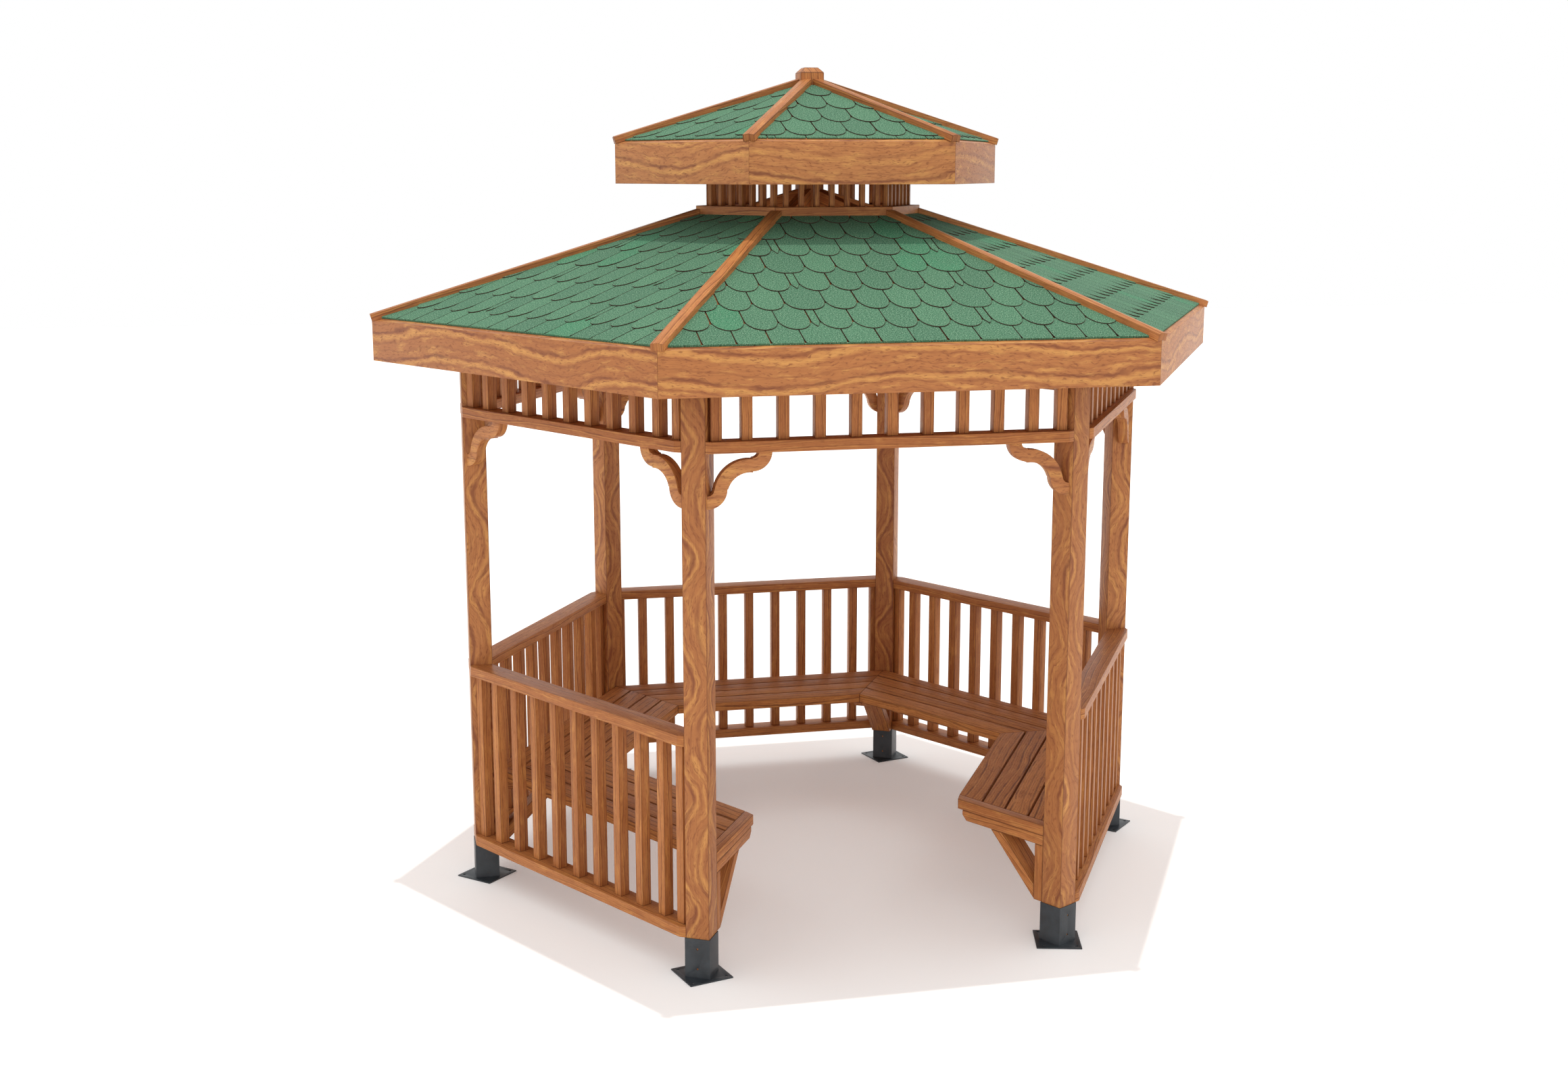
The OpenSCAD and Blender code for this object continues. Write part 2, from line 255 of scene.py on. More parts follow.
def boardAxes(bm, runs):  # the way a board runs, and a way across it
    p = middle(bm)
    if runs == "side":
        a = nearestAngle(p, sideAngles)
        return tan(a), rad(a)
    a = nearestAngle(p, postAngles)
    if runs == "up":
        return up, rad(a)
    if runs == "post":
        return rad(a), tan(a)
    pts = [v.co for v in bm.verts]  # down a hip: from its innermost to its outermost point
    far = max(pts, key=lambda q: q.dot(rad(a)))
    near = min(pts, key=lambda q: q.dot(rad(a)))
    d = far - near
    d = rad(a) * d.dot(rad(a)) + up * d.z
    return d.normalized(), tan(a)


def boards(name, p):  # every board of a piece on its own
    pile = Pile(name)
    for n in p["nodes"]:
        whole = cleanCopy(n)
        for one in splitParts(whole):
            axis, across = boardAxes(one, p["runs"])
            roundEdges(one, p["edge"])
            pile.add(one, axis, across, p.get("ends", True))
        whole.free()
    return pile.build(p)


def lattice(name, p):  # rails and balusters taken apart by height
    pile = Pile(name)
    for n in p["nodes"]:
        whole = cleanCopy(n)
        lowCut = low(n).z + stock + meshing["cutGap"]  # a hair off the rails' faces, so that the cuts close
        highCut = high(n).z - stock - meshing["cutGap"]
        for z0, z1, isRail in ((None, lowCut, True), (lowCut, highCut, False), (highCut, None, True)):
            part = slab(whole, z0, z1)
            for one in splitParts(part):
                side = nearestAngle(middle(one), sideAngles)
                roundEdges(one, p["edge"])
                pile.add(one, tan(side) if isRail else up, rad(side))
            part.free()
        whole.free()
    return pile.build(p)


def clipPoly(poly, planes):  # keeps the part of a flat outline inside all half planes
    for a, b, c in planes:
        out = []
        for i, p in enumerate(poly):
            q = poly[(i + 1) % len(poly)]
            dp, dq = a * p[0] + b * p[1] + c, a * q[0] + b * q[1] + c
            if dp >= 0:
                out.append(p)
            if (dp >= 0) != (dq >= 0):
                k = dp / (dp - dq)
                out.append((p[0] + k * (q[0] - p[0]), p[1] + k * (q[1] - p[1])))
        poly = out
        if len(poly) < 3:
            return []
    return poly


def cleanPoly(poly):  # no doubled points, counter-clockwise, and nothing at all for a sliver
    kept = [p for i, p in enumerate(poly) if math.hypot(p[0] - poly[i - 1][0], p[1] - poly[i - 1][1]) > 2e-4]
    if len(kept) < 3:
        return []
    area = sum(kept[i - 1][0] * kept[i][1] - kept[i][0] * kept[i - 1][1] for i in range(len(kept))) / 2
    if abs(area) < 6e-5:
        return []
    if area < 0:
        kept.reverse()
    return kept


def inset(poly, d):  # an outline moved inwards by d
    out = []
    for i, p1 in enumerate(poly):
        p0, p2 = poly[i - 1], poly[(i + 1) % len(poly)]
        e1 = Vector((p1[0] - p0[0], p1[1] - p0[1]))
        e2 = Vector((p2[0] - p1[0], p2[1] - p1[1]))
        if e1.length < 1e-6 or e2.length < 1e-6:
            out.append(p1)
            continue
        e1.normalize()
        e2.normalize()
        n1, n2 = Vector((-e1.y, e1.x)), Vector((-e2.y, e2.x))
        b = n1 + n2
        if b.length < 1e-4:
            out.append(p1)
            continue
        b.normalize()
        k = d / max(0.35, b.dot(n1))  # sharp corners move in by no more than about three times d
        out.append((p1[0] + b.x * k, p1[1] + b.y * k))
    return out


def tabOutline(x0, x1, end, top, s):  # counter-clockwise, x along the eaves, y up the slope
    x0, x1 = x0 + s["slit"] / 2, x1 - s["slit"] / 2
    w, mid = (x1 - x0) / 2, (x0 + x1) / 2
    pts = [(x1, top), (x0, top)]
    if w <= s["narrow"]:  # the pointed sliver at a strip's joint
        tip = end + s["tipUp"]
        base = tip + w * s["tipSlope"]
        return pts + [(x0, base), (mid - s["tipHalf"], tip), (mid + s["tipHalf"], tip), (x1, base)]
    base = end + s["arcUp"]
    flat = max(0, w - s["tabW"] / 2)  # a wider tab has a straight stretch between its arcs
    turns = [math.pi / 2 * i / s["arcSteps"] for i in range(s["arcSteps"] + 1)]
    for a in turns:
        pts.append((x0 + (w - flat) * (1 - math.cos(a)), base - s["arcUp"] * math.sin(a)))
    for a in turns[1 if flat == 0 else 0:]:
        pts.append((x1 - (w - flat) * (1 - math.sin(a)), base - s["arcUp"] * math.cos(a)))
    return pts


def rowCuts(k, halfW, s):  # where a row is slit, with a strip's joint at every period
    cuts, n = [], int(halfW / s["period"]) + 2
    for j in range(-n, n + 1):
        c = (j + 0.5) * s["period"]
        if k % 2:
            cuts.append(c - s["jointHalf"])
            cuts += [c + s["jointHalf"] + s["tabW"] * i for i in range(0, 5)]
        else:
            cuts.append(c - s["wideHalf"])
            cuts += [c + s["wideHalf"] + s["tabW"] * i for i in range(0, 4)]
    return sorted(cuts)


def shingleRoof(name, s):  # rows of round-ended tabs, each a thin raised plate with a slim rim in painted shade
    verts, faces, rim, tone, local = [], [], [], [], []
    pitch = math.atan(roof["slope"])
    cosP, sinP = math.cos(pitch), math.sin(pitch)
    runUp = (s["eavesA"] - s["topA"]) / cosP
    halfAngle = math.tan(math.radians(30))
    halfAtEaves = s["eavesA"] * halfAngle - s["capHalf"]
    taper = halfAngle * cosP
    planes = [(0, 1, -s["eaveIn"]), (0, -1, runUp), (1, -taper, halfAtEaves), (-1, -taper, halfAtEaves)]
    reach = s["rowUp"] + s["lap"]
    for side in sideAngles:
        out, along = rad(side), tan(side)
        slopeUp = (-out) * cosP + up * sinP
        normal = out * sinP + up * cosP
        origin = out * s["eavesA"] + up * s["eavesZ"]
        for row in range(-1, int(runUp / s["rowUp"]) + 2):
            end = s["firstEnd"] + row * s["rowUp"]
            cuts = rowCuts(row, halfAtEaves, s)
            for c0, c1 in zip(cuts, cuts[1:]):
                r = random.Random(int((c0 + 9) * 3001) * 131 + row * 17 + side)
                shift = r.uniform(-s["shift"], s["shift"])
                drop = r.uniform(-s["drop"], s["drop"])
                poly = clipPoly(tabOutline(c0 + shift, c1 + shift, end + drop, end + reach, s), planes)
                poly = cleanPoly(poly)
                if not poly:
                    continue
                toneHere = r.random()
                if c1 - c0 > s["brightOver"] and r.random() < s["brightShare"]:
                    toneHere += 1.0
                curl = r.uniform(0, s["curl"])

                def place(x, y, h):  # a tab leans on the row below it, and its end may curl up a little
                    y0 = y - end
                    lift = s["thick"] * (2.1 - 1.05 * y0 / reach) + curl * max(0, 1 - y0 / s["curlUp"])
                    return origin + along * x + slopeUp * y + normal * (lift + h)
                base, n = len(verts), len(poly)
                layers = ((poly, -s["thick"] * 0.95), (poly, -s["rimDrop"]), (inset(poly, s["rim"]), 0))
                for outline, h in layers:
                    for x, y in outline:
                        verts.append(place(x, y, h))
                        local.append((x, y, row * 0.3 + side))
                        tone.append(toneHere)
                        # painted shade: a tab's cut edges and rim band are darkened, less so at the eaves
                        atEave = abs(y - s["eaveIn"]) < s["rim"] * 1.2
                        rim.append(0.0 if h == 0 else s["eaveRimShade"] if atEave else 1.0)
                for i in range(n):
                    j = (i + 1) % n
                    faces.append([base + i, base + j, base + n + j, base + n + i])
                    faces.append([base + n + i, base + n + j, base + 2 * n + j, base + 2 * n + i])
                faces.append([base + 2 * n + i for i in range(n)])
    me = bpy.data.meshes.new(name)
    me.from_pydata([tuple(v) for v in verts], [], faces)
    setValues(me, "grain", "POINT", local)
    setValues(me, "tone", "POINT", tone)
    setValues(me, "rim", "POINT", rim)
    ob = bpy.data.objects.new(name, me)
    bpy.context.scene.collection.objects.link(ob)
    me.materials.append(mats["shingle"])
    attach(ob, "root")
    print(name, len(faces), "faces")
    return ob


class Net:  # a short way to add and join shader nodes
    def __init__(self, tree):
        self.tree = tree

    def node(self, kind, **values):
        n = self.tree.nodes.new(kind)
        for k, v in values.items():
            setattr(n, k, v)
        return n

    def put(self, socket, value):
        if isinstance(value, bpy.types.NodeSocket):
            self.tree.links.new(value, socket)
        else:
            socket.default_value = value

    def maths(self, op, a, b=None, c=None):
        n = self.node("ShaderNodeMath", operation=op)
        for i, v in enumerate((a, b, c)):
            if v is not None:
                self.put(n.inputs[i], v)
        return n.outputs[0]

    def noise(self, vector, scale, detail, rough):
        n = self.node("ShaderNodeTexNoise")
        self.put(n.inputs["Vector"], vector)
        n.inputs["Scale"].default_value = scale
        n.inputs["Detail"].default_value = detail
        n.inputs["Roughness"].default_value = rough
        return n.outputs["Fac"]

    def span(self, value, a, b, c=0.0, d=1.0, smooth=True):  # a..b becomes c..d
        n = self.node("ShaderNodeMapRange", clamp=True)
        if smooth:
            n.interpolation_type = "SMOOTHSTEP"
        self.put(n.inputs["Value"], value)
        for k, v in (("From Min", a), ("From Max", b), ("To Min", c), ("To Max", d)):
            self.put(n.inputs[k], v)
        return n.outputs["Result"]

    def mix(self, f, a, b):
        n = self.node("ShaderNodeMix", data_type="RGBA", blend_type="MIX")
        self.put(n.inputs["Factor"], f)
        self.put(n.inputs[6], a)
        self.put(n.inputs[7], b)
        return n.outputs[2]

    def attr(self, name, kind="Vector"):
        return self.node("ShaderNodeAttribute", attribute_name=name).outputs[kind]

    def amount(self, value, share):
        return self.maths("MULTIPLY", value, share)

    def bump(self, shader, height, strength, distance):
        n = self.node("ShaderNodeBump")
        n.inputs["Strength"].default_value = strength
        n.inputs["Distance"].default_value = distance
        self.put(n.inputs["Height"], height)
        self.put(shader.inputs["Normal"], n.outputs[0])

    def principled(self):  # a shader joined to the material's output
        out = self.node("ShaderNodeOutputMaterial")
        sh = self.node("ShaderNodeBsdfPrincipled")
        self.put(out.inputs["Surface"], sh.outputs[0])
        return sh


def makeMaterial(name):
    m = bpy.data.materials.new(name)
    m.use_nodes = True
    m.node_tree.nodes.clear()
    return m, Net(m.node_tree)


def col(r, g, b):  # a colour as a screen shows it, made linear
    def lin(v):
        v /= 255
        return v / 12.92 if v <= 0.04045 else ((v + 0.055) / 1.055) ** 2.4
    return (lin(r), lin(g), lin(b), 1)


def group(name, inputs, outputs):
    t = bpy.data.node_groups.new(name, "ShaderNodeTree")
    for nm, kind, value in inputs:
        sock = t.interface.new_socket(nm, in_out="INPUT", socket_type=kind)
        if value is not None:
            sock.default_value = value
    for nm in outputs:
        t.interface.new_socket(nm, in_out="OUTPUT", socket_type="NodeSocketFloat")
    return t, t.nodes.new("NodeGroupInput"), t.nodes.new("NodeGroupOutput"), Net(t)


def logGroup():  # wavy rings seen on a board's face, with dashes and fibres that follow them
    t, gi, go, n = group("logGrain", [
        ("Grain", "NodeSocketVector", None),
        ("Spacing", "NodeSocketFloat", 0.08),
        ("Wave Length", "NodeSocketFloat", 0.43),
        ("Wave Height", "NodeSocketFloat", 0.3),
        ("Drift", "NodeSocketFloat", 0.4),
        ("Line Width", "NodeSocketFloat", 0.12),
    ], ["Band", "Glow", "Fibre", "Dash", "Mottle", "Height"])
    g = gi.outputs
    sep = n.node("ShaderNodeSeparateXYZ")
    n.put(sep.inputs[0], g["Grain"])
    u, v, w = sep.outputs  # along the board, across it, and its seed

    def stretched(ku, across, kv, kw=1.0, detail=2.0):  # noise with its own scale along and across
        co = n.node("ShaderNodeCombineXYZ")
        n.put(co.inputs[0], n.amount(u, ku))
        n.put(co.inputs[1], n.amount(across, kv))
        n.put(co.inputs[2], n.amount(w, kw))
        return n.noise(co.outputs[0], 1.0, detail, 0.55)

    # the rings wave along the board, drift slowly and ripple a little
    slow = n.maths("SUBTRACT", stretched(1.8, v, 5.0), 0.5)
    turn = n.maths("DIVIDE", n.amount(u, 2 * math.pi), g["Wave Length"])
    turn = n.maths("MULTIPLY_ADD", slow, 2.4, turn)
    second = n.maths("SINE", n.maths("MULTIPLY_ADD", turn, 2.0, 1.5))
    wave = n.maths("MULTIPLY_ADD", second, 0.2, n.maths("SINE", turn))
    wave = n.maths("MULTIPLY", wave, g["Wave Height"])
    ripple = n.amount(n.maths("SUBTRACT", stretched(17.0, v, 34.0), 0.5), 0.26)
    rings = n.maths("ADD", n.maths("DIVIDE", v, g["Spacing"]), n.maths("ADD", wave, ripple))
    rings = n.maths("ADD", n.maths("MULTIPLY_ADD", slow, g["Drift"], rings), n.amount(w, 0.618))
    part, ring = n.maths("FRACT", rings), n.maths("FLOOR", rings)

    # some rings are strong, some faint, and all of them fade in places
    pick = n.node("ShaderNodeTexWhiteNoise", noise_dimensions="1D")
    n.put(pick.inputs["W"], n.maths("MULTIPLY_ADD", n.maths("FLOOR", w), 13.7, ring))
    strong = n.span(pick.outputs["Value"], 0.0, 0.8, 0.45, 1.0)
    fade = n.span(stretched(8.0, v, 20.0), 0.3, 0.6, 0.2, 1.0)

    def line(at, width, share=1.0):  # a soft line at one place in every ring
        off = n.maths("ABSOLUTE", n.maths("SUBTRACT", part, at))
        return n.amount(n.span(n.maths("DIVIDE", off, width), 1.0, 0.0), share)

    band = n.maths("MULTIPLY", line(0.5, g["Line Width"]), n.maths("MULTIPLY", strong, fade))
    thin = n.maths("MULTIPLY", line(0.85, 0.07, 0.5), fade)
    band = n.maths("MAXIMUM", band, n.maths("MAXIMUM", thin, line(0.18, 0.06, 0.35)))
    glow = n.maths("MULTIPLY", line(0.68, 0.14), strong)
    across = n.maths("MULTIPLY", rings, g["Spacing"])
    dash = n.span(stretched(44.0, across, 200.0, 3.0, 2.0), 0.53, 0.7)
    fibre = stretched(13.0, v, 560.0, 2.0, 3.0)
    mottle = stretched(11.0, across, 42.0, 1.5, 4.0)
    height = n.maths("SUBTRACT", n.amount(fibre, 0.6), n.amount(dash, 0.5))
    results = {"Band": band, "Glow": glow, "Fibre": fibre, "Dash": dash, "Mottle": mottle, "Height": height}
    for nm, value in results.items():
        n.put(go.inputs[nm], value)
    return t


grainGroup = logGroup()
woodFinish = {"mottleDeep": 0.85, "mottleGlow": 0.6, "endAmount": 0.35, "roughUp": 0.12, "roughDown": 0.04,
              "bump": 0.35, "bumpDepth": 0.0006}


def woodMaterial(name, w):
    m, n = makeMaterial(name)
    sh = n.principled()
    g = n.node("ShaderNodeGroup")
    g.node_tree = grainGroup
    n.put(g.inputs["Grain"], n.attr("grain"))
    for k, v in w["grain"].items():
        g.inputs[k].default_value = v
    mask = g.outputs
    base = n.mix(n.attr("tone", "Fac"), w["light"], w["deep"])
    base = n.mix(n.span(mask["Mottle"], 0.5, 0.72, 0.0, woodFinish["mottleDeep"]), base, w["deep"])
    base = n.mix(n.span(mask["Mottle"], 0.5, 0.28, 0.0, woodFinish["mottleGlow"]), base, w["glow"])
    base = n.mix(n.amount(mask["Glow"], w["glowAmount"]), base, w["glow"])
    base = n.mix(n.span(mask["Fibre"], 0.4, 0.68, 0.0, w["fibreAmount"]), base, w["fibre"])
    base = n.mix(n.amount(mask["Dash"], w["dashAmount"]), base, w["band"])
    base = n.mix(n.amount(mask["Band"], w["bandAmount"]), base, w["band"])
    base = n.mix(n.amount(n.attr("endGrain", "Fac"), woodFinish["endAmount"]), base, w["band"])
    # painted shade: the rounded edges' faces are darkened towards the edge colour
    base = n.mix(n.amount(n.attr("edge", "Fac"), w["edgeShadeAmount"]), base, w["edge"])
    n.put(sh.inputs["Base Color"], base)
    roughest, smoothest = w["rough"] + woodFinish["roughUp"], w["rough"] - woodFinish["roughDown"]
    n.put(sh.inputs["Roughness"], n.span(mask["Height"], -0.5, 0.6, roughest, smoothest))
    sh.inputs["Specular IOR Level"].default_value = w["spec"]
    n.bump(sh, mask["Height"], woodFinish["bump"], woodFinish["bumpDepth"])
    return m


# in each look, "edge" is the colour of the painted shade on the rounded edges
# round-log figure with wide waves, for the posts
postLook = {
    "light": col(190, 126, 74), "deep": col(168, 106, 60), "glow": col(218, 158, 88),
    "band": col(118, 62, 40), "fibre": col(142, 86, 50), "edge": col(84, 44, 26),
    "glowAmount": 0.5, "bandAmount": 0.75, "fibreAmount": 0.4, "dashAmount": 0.55, "edgeShadeAmount": 0.45,
    "rough": 0.45, "spec": 0.25,
    "grain": {"Spacing": 0.085, "Wave Length": 0.43, "Wave Height": 0.42, "Drift": 0.3, "Line Width": 0.15},
}
# straight fine grain, for the slim timbers
railLook = {
    "light": col(194, 126, 72), "deep": col(168, 104, 58), "glow": col(212, 148, 82),
    "band": col(108, 58, 34), "fibre": col(140, 84, 48), "edge": col(76, 40, 24),
    "glowAmount": 0.5, "bandAmount": 0.7, "fibreAmount": 0.4, "dashAmount": 0.25, "edgeShadeAmount": 0.5,
    "rough": 0.45, "spec": 0.18,
    "grain": {"Spacing": 0.024, "Wave Length": 0.9, "Wave Height": 0.25, "Drift": 0.5, "Line Width": 0.2},
}
# bolder lines, for the bench slats
benchLook = {
    "light": col(200, 132, 74), "deep": col(172, 108, 60), "glow": col(206, 140, 78),
    "band": col(84, 44, 28), "fibre": col(128, 76, 44), "edge": col(46, 26, 18),
    "glowAmount": 0.5, "bandAmount": 0.75, "fibreAmount": 0.4, "dashAmount": 0.3, "edgeShadeAmount": 0.5,
    "rough": 0.5, "spec": 0.1,
    "grain": {"Spacing": 0.033, "Wave Length": 1.0, "Wave Height": 0.25, "Drift": 0.5, "Line Width": 0.22},
}
# long calm rings, for the deep boards under the eaves and the curved brackets
fasciaLook = {
    "light": col(192, 128, 76), "deep": col(172, 109, 62), "glow": col(220, 162, 90),
    "band": col(116, 62, 40), "fibre": col(144, 88, 52), "edge": col(84, 44, 26),
    "glowAmount": 0.6, "bandAmount": 0.8, "fibreAmount": 0.4, "dashAmount": 0.6, "edgeShadeAmount": 0.1,
    "rough": 0.45, "spec": 0.25,
    "grain": {"Spacing": 0.1, "Wave Length": 1.15, "Wave Height": 0.22, "Drift": 0.7, "Line Width": 0.1},
}
mats = {
    "post": woodMaterial("postWood", postLook),
    "rail": woodMaterial("railWood", railLook),
    "bench": woodMaterial("benchWood", benchLook),
    "fascia": woodMaterial("fasciaWood", fasciaLook),
}
print("wood ready")

# "line" is the colour of the painted shade along the tabs' rims and cut edges
shingleLook = {
    "light": col(82, 129, 99), "deep": col(72, 115, 89), "bright": col(66, 142, 102),
    "dark": col(28, 58, 44), "pale": col(150, 182, 154), "line": col(62, 44, 34),
    "gritScale": 210.0, "cloudScale": 9.0, "brightAmount": 0.55, "cloudAmount": 0.35,
    "darkAmount": 0.95, "paleAmount": 0.85, "rough": 0.85, "spec": 0.2, "bump": 0.5, "bumpDepth": 0.0012,
}


def shingleMaterial(name, w):  # mineral grit over a green that differs from tab to tab
    m, n = makeMaterial(name)
    sh = n.principled()
    co = n.attr("grain")
    tone = n.attr("tone", "Fac")
    grit = n.noise(co, w["gritScale"], 3.0, 0.75)
    cloud = n.noise(co, w["cloudScale"], 3.0, 0.6)
    base = n.mix(n.span(tone, 0.0, 1.0, smooth=False), w["light"], w["deep"])
    base = n.mix(n.span(tone, 1.0, 1.05, 0.0, w["brightAmount"]), base, w["bright"])
    base = n.mix(n.amount(n.span(cloud, 0.4, 0.75), w["cloudAmount"]), base, w["deep"])
    base = n.mix(n.span(grit, 0.34, 0.5, w["darkAmount"], 0.0), base, w["dark"])
    base = n.mix(n.span(grit, 0.52, 0.66, 0.0, w["paleAmount"]), base, w["pale"])
    # painted shade along each tab's rim and cut edges
    base = n.mix(n.span(n.attr("rim", "Fac"), 0.25, 0.8), base, w["line"])
    n.put(sh.inputs["Base Color"], base)
    sh.inputs["Roughness"].default_value = w["rough"]
    sh.inputs["Specular IOR Level"].default_value = w["spec"]
    n.bump(sh, grit, w["bump"], w["bumpDepth"])
    return m


mats["shingle"] = shingleMaterial("shingle", shingleLook)

steelLook = {"dark": col(38, 43, 48), "light": col(54, 60, 65), "rough": 0.42, "peelScale": 420.0,
             "cloudScale": 14.0, "bump": 0.25, "bumpDepth": 0.0003}


def steelMaterial(name, w):  # dark paint with a slight orange peel
    m, n = makeMaterial(name)
    sh = n.principled()
    co = n.node("ShaderNodeTexCoord").outputs["Object"]
    peel = n.noise(co, w["peelScale"], 2.0, 0.5)
    cloud = n.noise(co, w["cloudScale"], 3.0, 0.6)
    n.put(sh.inputs["Base Color"], n.mix(n.span(cloud, 0.3, 0.7), w["dark"], w["light"]))
    n.put(sh.inputs["Roughness"], n.span(cloud, 0.3, 0.7, w["rough"] - 0.05, w["rough"] + 0.08))
    sh.inputs["Metallic"].default_value = 0.0
    n.bump(sh, peel, w["bump"], w["bumpDepth"])
    return m


mats["steel"] = steelMaterial("steel", steelLook)
print("shingle and steel ready")

# the pieces: "runs" is the way the boards lie, "edge" how wide their rounded edges are, whose faces carry
# painted shade
posts = {"nodes": named("post_"), "runs": "up", "edge": 0.0025, "look": "post", "slot": "post_wood"}
boards("posts", posts)
railings = {"nodes": named("railing_"), "edge": 0.0018, "look": "rail", "slot": "rail_wood"}
lattice("railings", railings)
friezes = {"nodes": named("frieze_"), "edge": 0.0018, "look": "rail", "slot": "rail_wood"}
lattice("friezes", friezes)
brackets = {"nodes": ["corner_brackets"], "runs": "side", "edge": 0.0018, "look": "fascia",
            "slot": "rail_wood", "ends": False}
boards("brackets", brackets)
print("posts, railings, friezes and brackets ready")

seats = {"nodes": named("seat_", without="end"), "runs": "side", "edge": 0.0018, "look": "bench",
         "slot": "bench_wood"}
boards("seats", seats)
seatEnds = {"nodes": ["seat_end_boards"], "runs": "post", "edge": 0.0025, "look": "rail",
            "slot": "bench_wood"}
boards("seatEnds", seatEnds)
beams = {"nodes": ["bench_beams"], "runs": "post", "edge": 0.0025, "look": "rail", "slot": "bench_wood"}
boards("beams", beams)
cleats = {"nodes": ["bench_cleats"], "runs": "up", "edge": 0.0025, "look": "rail", "slot": "bench_wood"}
boards("cleats", cleats)
braces = {"nodes": ["bench_braces"], "runs": "hip", "edge": 0.0025, "look": "rail", "slot": "bench_wood"}
boards("braces", braces)
print("benches ready")

rafters = {"nodes": ["lower_rafters", "upper_rafters"], "runs": "hip", "edge": 0.002, "look": "rail",
           "slot": "roof_wood"}
boards("rafters", rafters)
fascias = {"nodes": ["lower_fascia", "upper_fascia"], "runs": "side", "edge": 0.001, "look": "fascia",
           "slot": "fascia_wood"}
boards("fascias", fascias)
hipCaps = {"nodes": ["lower_hip_caps", "upper_hip_caps"], "runs": "hip", "edge": 0.002, "look": "rail",
           "slot": "roof_wood"}
boards("hipCaps", hipCaps)
collar = {"nodes": ["collar_ring", "lantern_plate"], "runs": "side", "edge": 0.002, "look": "rail",
          "slot": "roof_wood"}
boards("collar", collar)
lanternSlats = {"nodes": ["lantern_slats"], "runs": "up", "edge": 0.0012, "look": "rail", "slot": "roof_wood"}
boards("lanternSlats", lanternSlats)
kingPost = {"nodes": ["king_post"], "runs": "up", "edge": 0.003, "look": "rail", "slot": "roof_wood"}
boards("kingPost", kingPost)
print("roof timbers ready")

feet = {"nodes": named("foot_"), "runs": "up", "edge": 0.0008, "look": "steel", "slot": "steel_feet"}
boards("feet", feet)
decks = {"nodes": ["lower_deck", "upper_deck"], "runs": "side", "edge": 0.001, "look": "rail",
         "slot": "roof_shingles"}
boards("decks", decks)
print("feet and decks ready")

shingles = {  # what both roofs share, in metres
    "tabW": 0.1163, "period": 0.611, "slit": 0.0032, "thick": 0.0042, "lap": 0.062, "eaveIn": 0.024,
    "arcUp": 0.083, "arcSteps": 9, "rim": 0.0016, "rimDrop": 0.0006, "eaveRimShade": 0.35, "capHalf": 0.012,
    "jointHalf": 0.0155, "wideHalf": 0.073, "narrow": 0.03, "tipUp": 0.027, "tipSlope": 2.4, "tipHalf": 0.002,
    "shift": 0.0008, "drop": 0.0012, "curl": 0.0012, "curlUp": 0.06, "brightOver": 0.1, "brightShare": 0.09,
}
lowerShingles = {**shingles, "eavesA": roof["eavesA"], "eavesZ": roof["eavesZ"],
                 "topA": roof["ringA"] - 0.004, "rowUp": 0.163, "firstEnd": -0.032}
upperShingles = {**shingles, "eavesA": roof["topA"], "eavesZ": roof["topZ"], "topA": 0.052,
                 "rowUp": 0.159, "firstEnd": 0.047}
shingleRoof("lowerShingles", lowerShingles)
shingleRoof("upperShingles", upperShingles)
print("shingles ready")

floor = {"half": 30, "colour": (0.93, 0.92, 0.915, 1), "glowColour": (1, 0.975, 0.965, 1), "glow": 0.14,
         "rough": 0.9, "spec": 0.1}


def anySeenRay(n):  # rays that come from the camera, a mirror or glass, and not from lighting
    ray = n.node("ShaderNodeLightPath").outputs
    mirrored = n.maths("MAXIMUM", ray["Is Glossy Ray"], ray["Is Transmission Ray"])
    return n.maths("MAXIMUM", ray["Is Camera Ray"], mirrored)


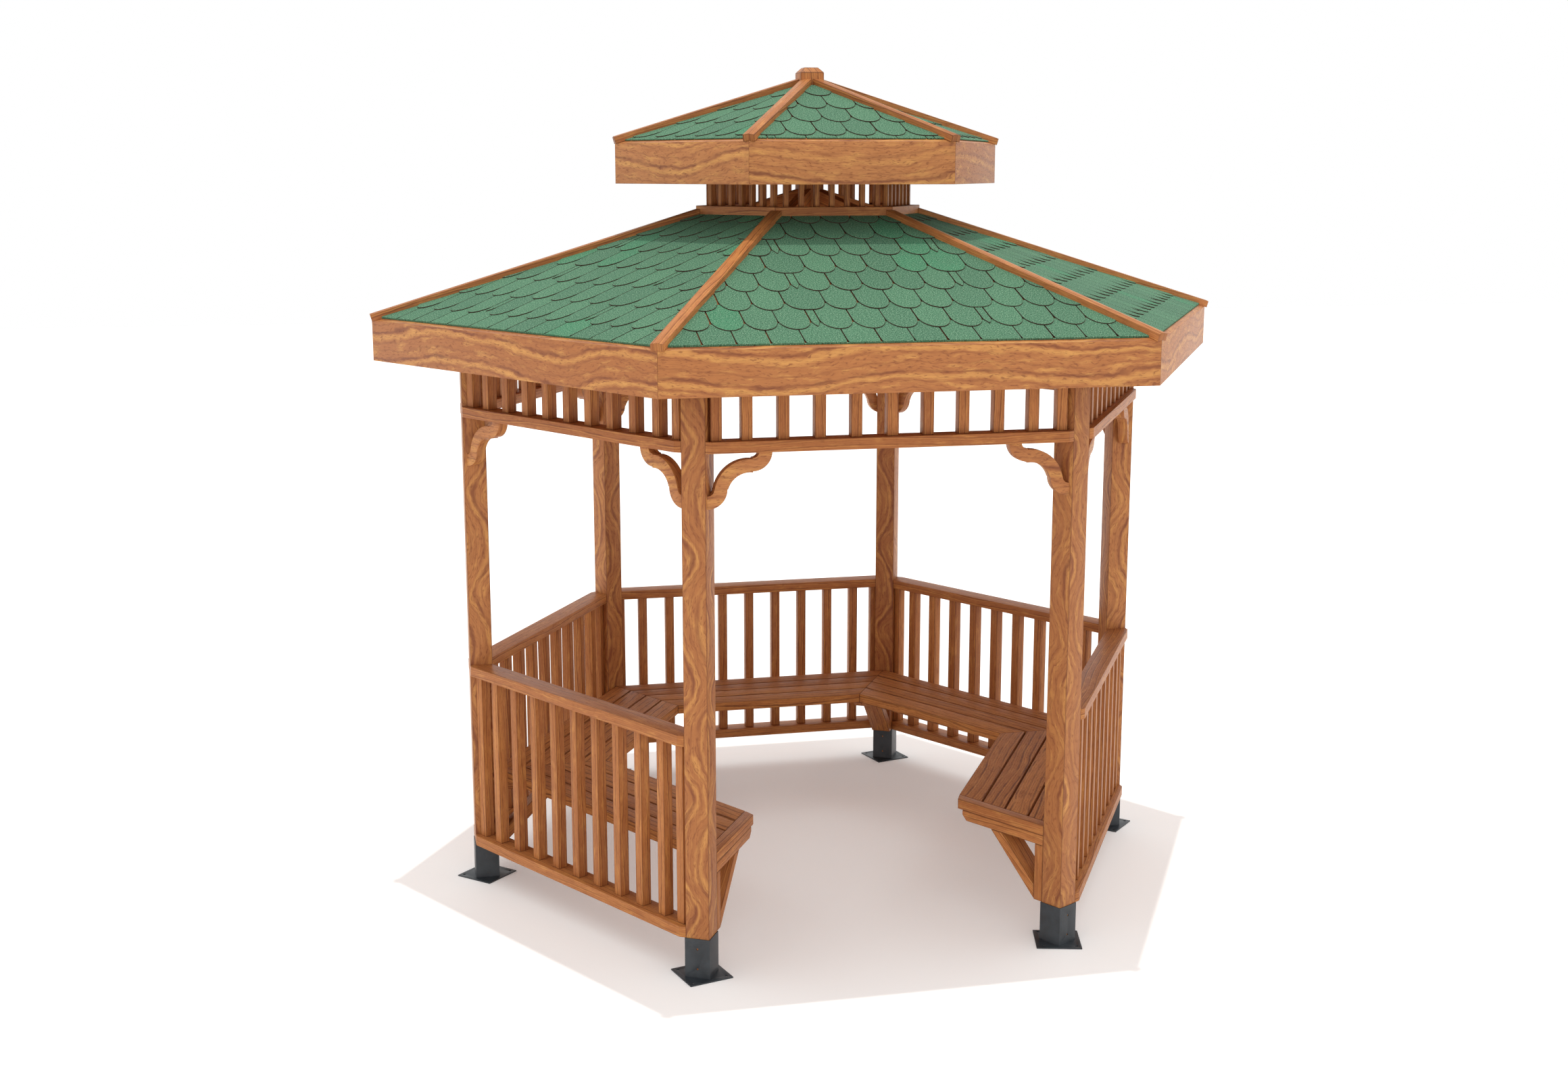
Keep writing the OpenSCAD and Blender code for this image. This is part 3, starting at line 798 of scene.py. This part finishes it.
def makeFloor(p):
    s = p["half"]
    me = bpy.data.meshes.new("floor")
    me.from_pydata([(-s, -s, 0), (s, -s, 0), (s, s, 0), (-s, s, 0)], [], [(0, 1, 2, 3)])
    ob = bpy.data.objects.new("floor", me)
    bpy.context.scene.collection.objects.link(ob)
    m, n = makeMaterial("floor")
    out = n.node("ShaderNodeOutputMaterial")
    sh = n.node("ShaderNodeBsdfPrincipled")
    sh.inputs["Base Color"].default_value = p["colour"]
    sh.inputs["Roughness"].default_value = p["rough"]
    sh.inputs["Emission Color"].default_value = p["glowColour"]
    sh.inputs["Specular IOR Level"].default_value = p["spec"]
    glow = n.amount(anySeenRay(n), p["glow"])  # lifts what is seen and lights nothing
    n.put(sh.inputs["Emission Strength"], glow)
    clear = n.node("ShaderNodeBsdfTransparent")  # the floor is not seen from below
    under = n.node("ShaderNodeMixShader")
    n.put(under.inputs[0], n.node("ShaderNodeNewGeometry").outputs["Backfacing"])
    n.put(under.inputs[1], sh.outputs[0])
    n.put(under.inputs[2], clear.outputs[0])
    n.put(out.inputs["Surface"], under.outputs[0])
    me.materials.append(m)
    return ob


light = {"sky": 1.04, "skyColour": (1, 0.985, 0.97, 1), "sun": 1.3, "sunAngle": 0.6,
         "sunColour": (1, 0.97, 0.93)}


def makeLight(p):  # a soft pale sky that shows as white, and a sun straight above
    world = bpy.data.worlds.new("world")
    bpy.context.scene.world = world
    world.use_nodes = True
    world.node_tree.nodes.clear()
    n = Net(world.node_tree)
    out = n.node("ShaderNodeOutputWorld")
    sky = n.node("ShaderNodeBackground")
    sky.inputs["Color"].default_value = p["skyColour"]
    sky.inputs["Strength"].default_value = p["sky"]
    seen = n.node("ShaderNodeBackground")
    seen.inputs["Color"].default_value = (1, 1, 1, 1)
    seen.inputs["Strength"].default_value = 1.0
    mixer = n.node("ShaderNodeMixShader")
    n.put(mixer.inputs[0], anySeenRay(n))
    n.put(mixer.inputs[1], sky.outputs[0])
    n.put(mixer.inputs[2], seen.outputs[0])
    n.put(out.inputs[0], mixer.outputs[0])
    sun = bpy.data.lights.new("sun", "SUN")
    sun.energy = p["sun"]
    sun.angle = math.radians(p["sunAngle"])
    sun.color = p["sunColour"]
    ob = bpy.data.objects.new("sun", sun)
    bpy.context.scene.collection.objects.link(ob)
    return ob


makeFloor(floor)
makeLight(light)
bpy.context.scene.view_settings.view_transform = "Standard"
print("floor and light ready")
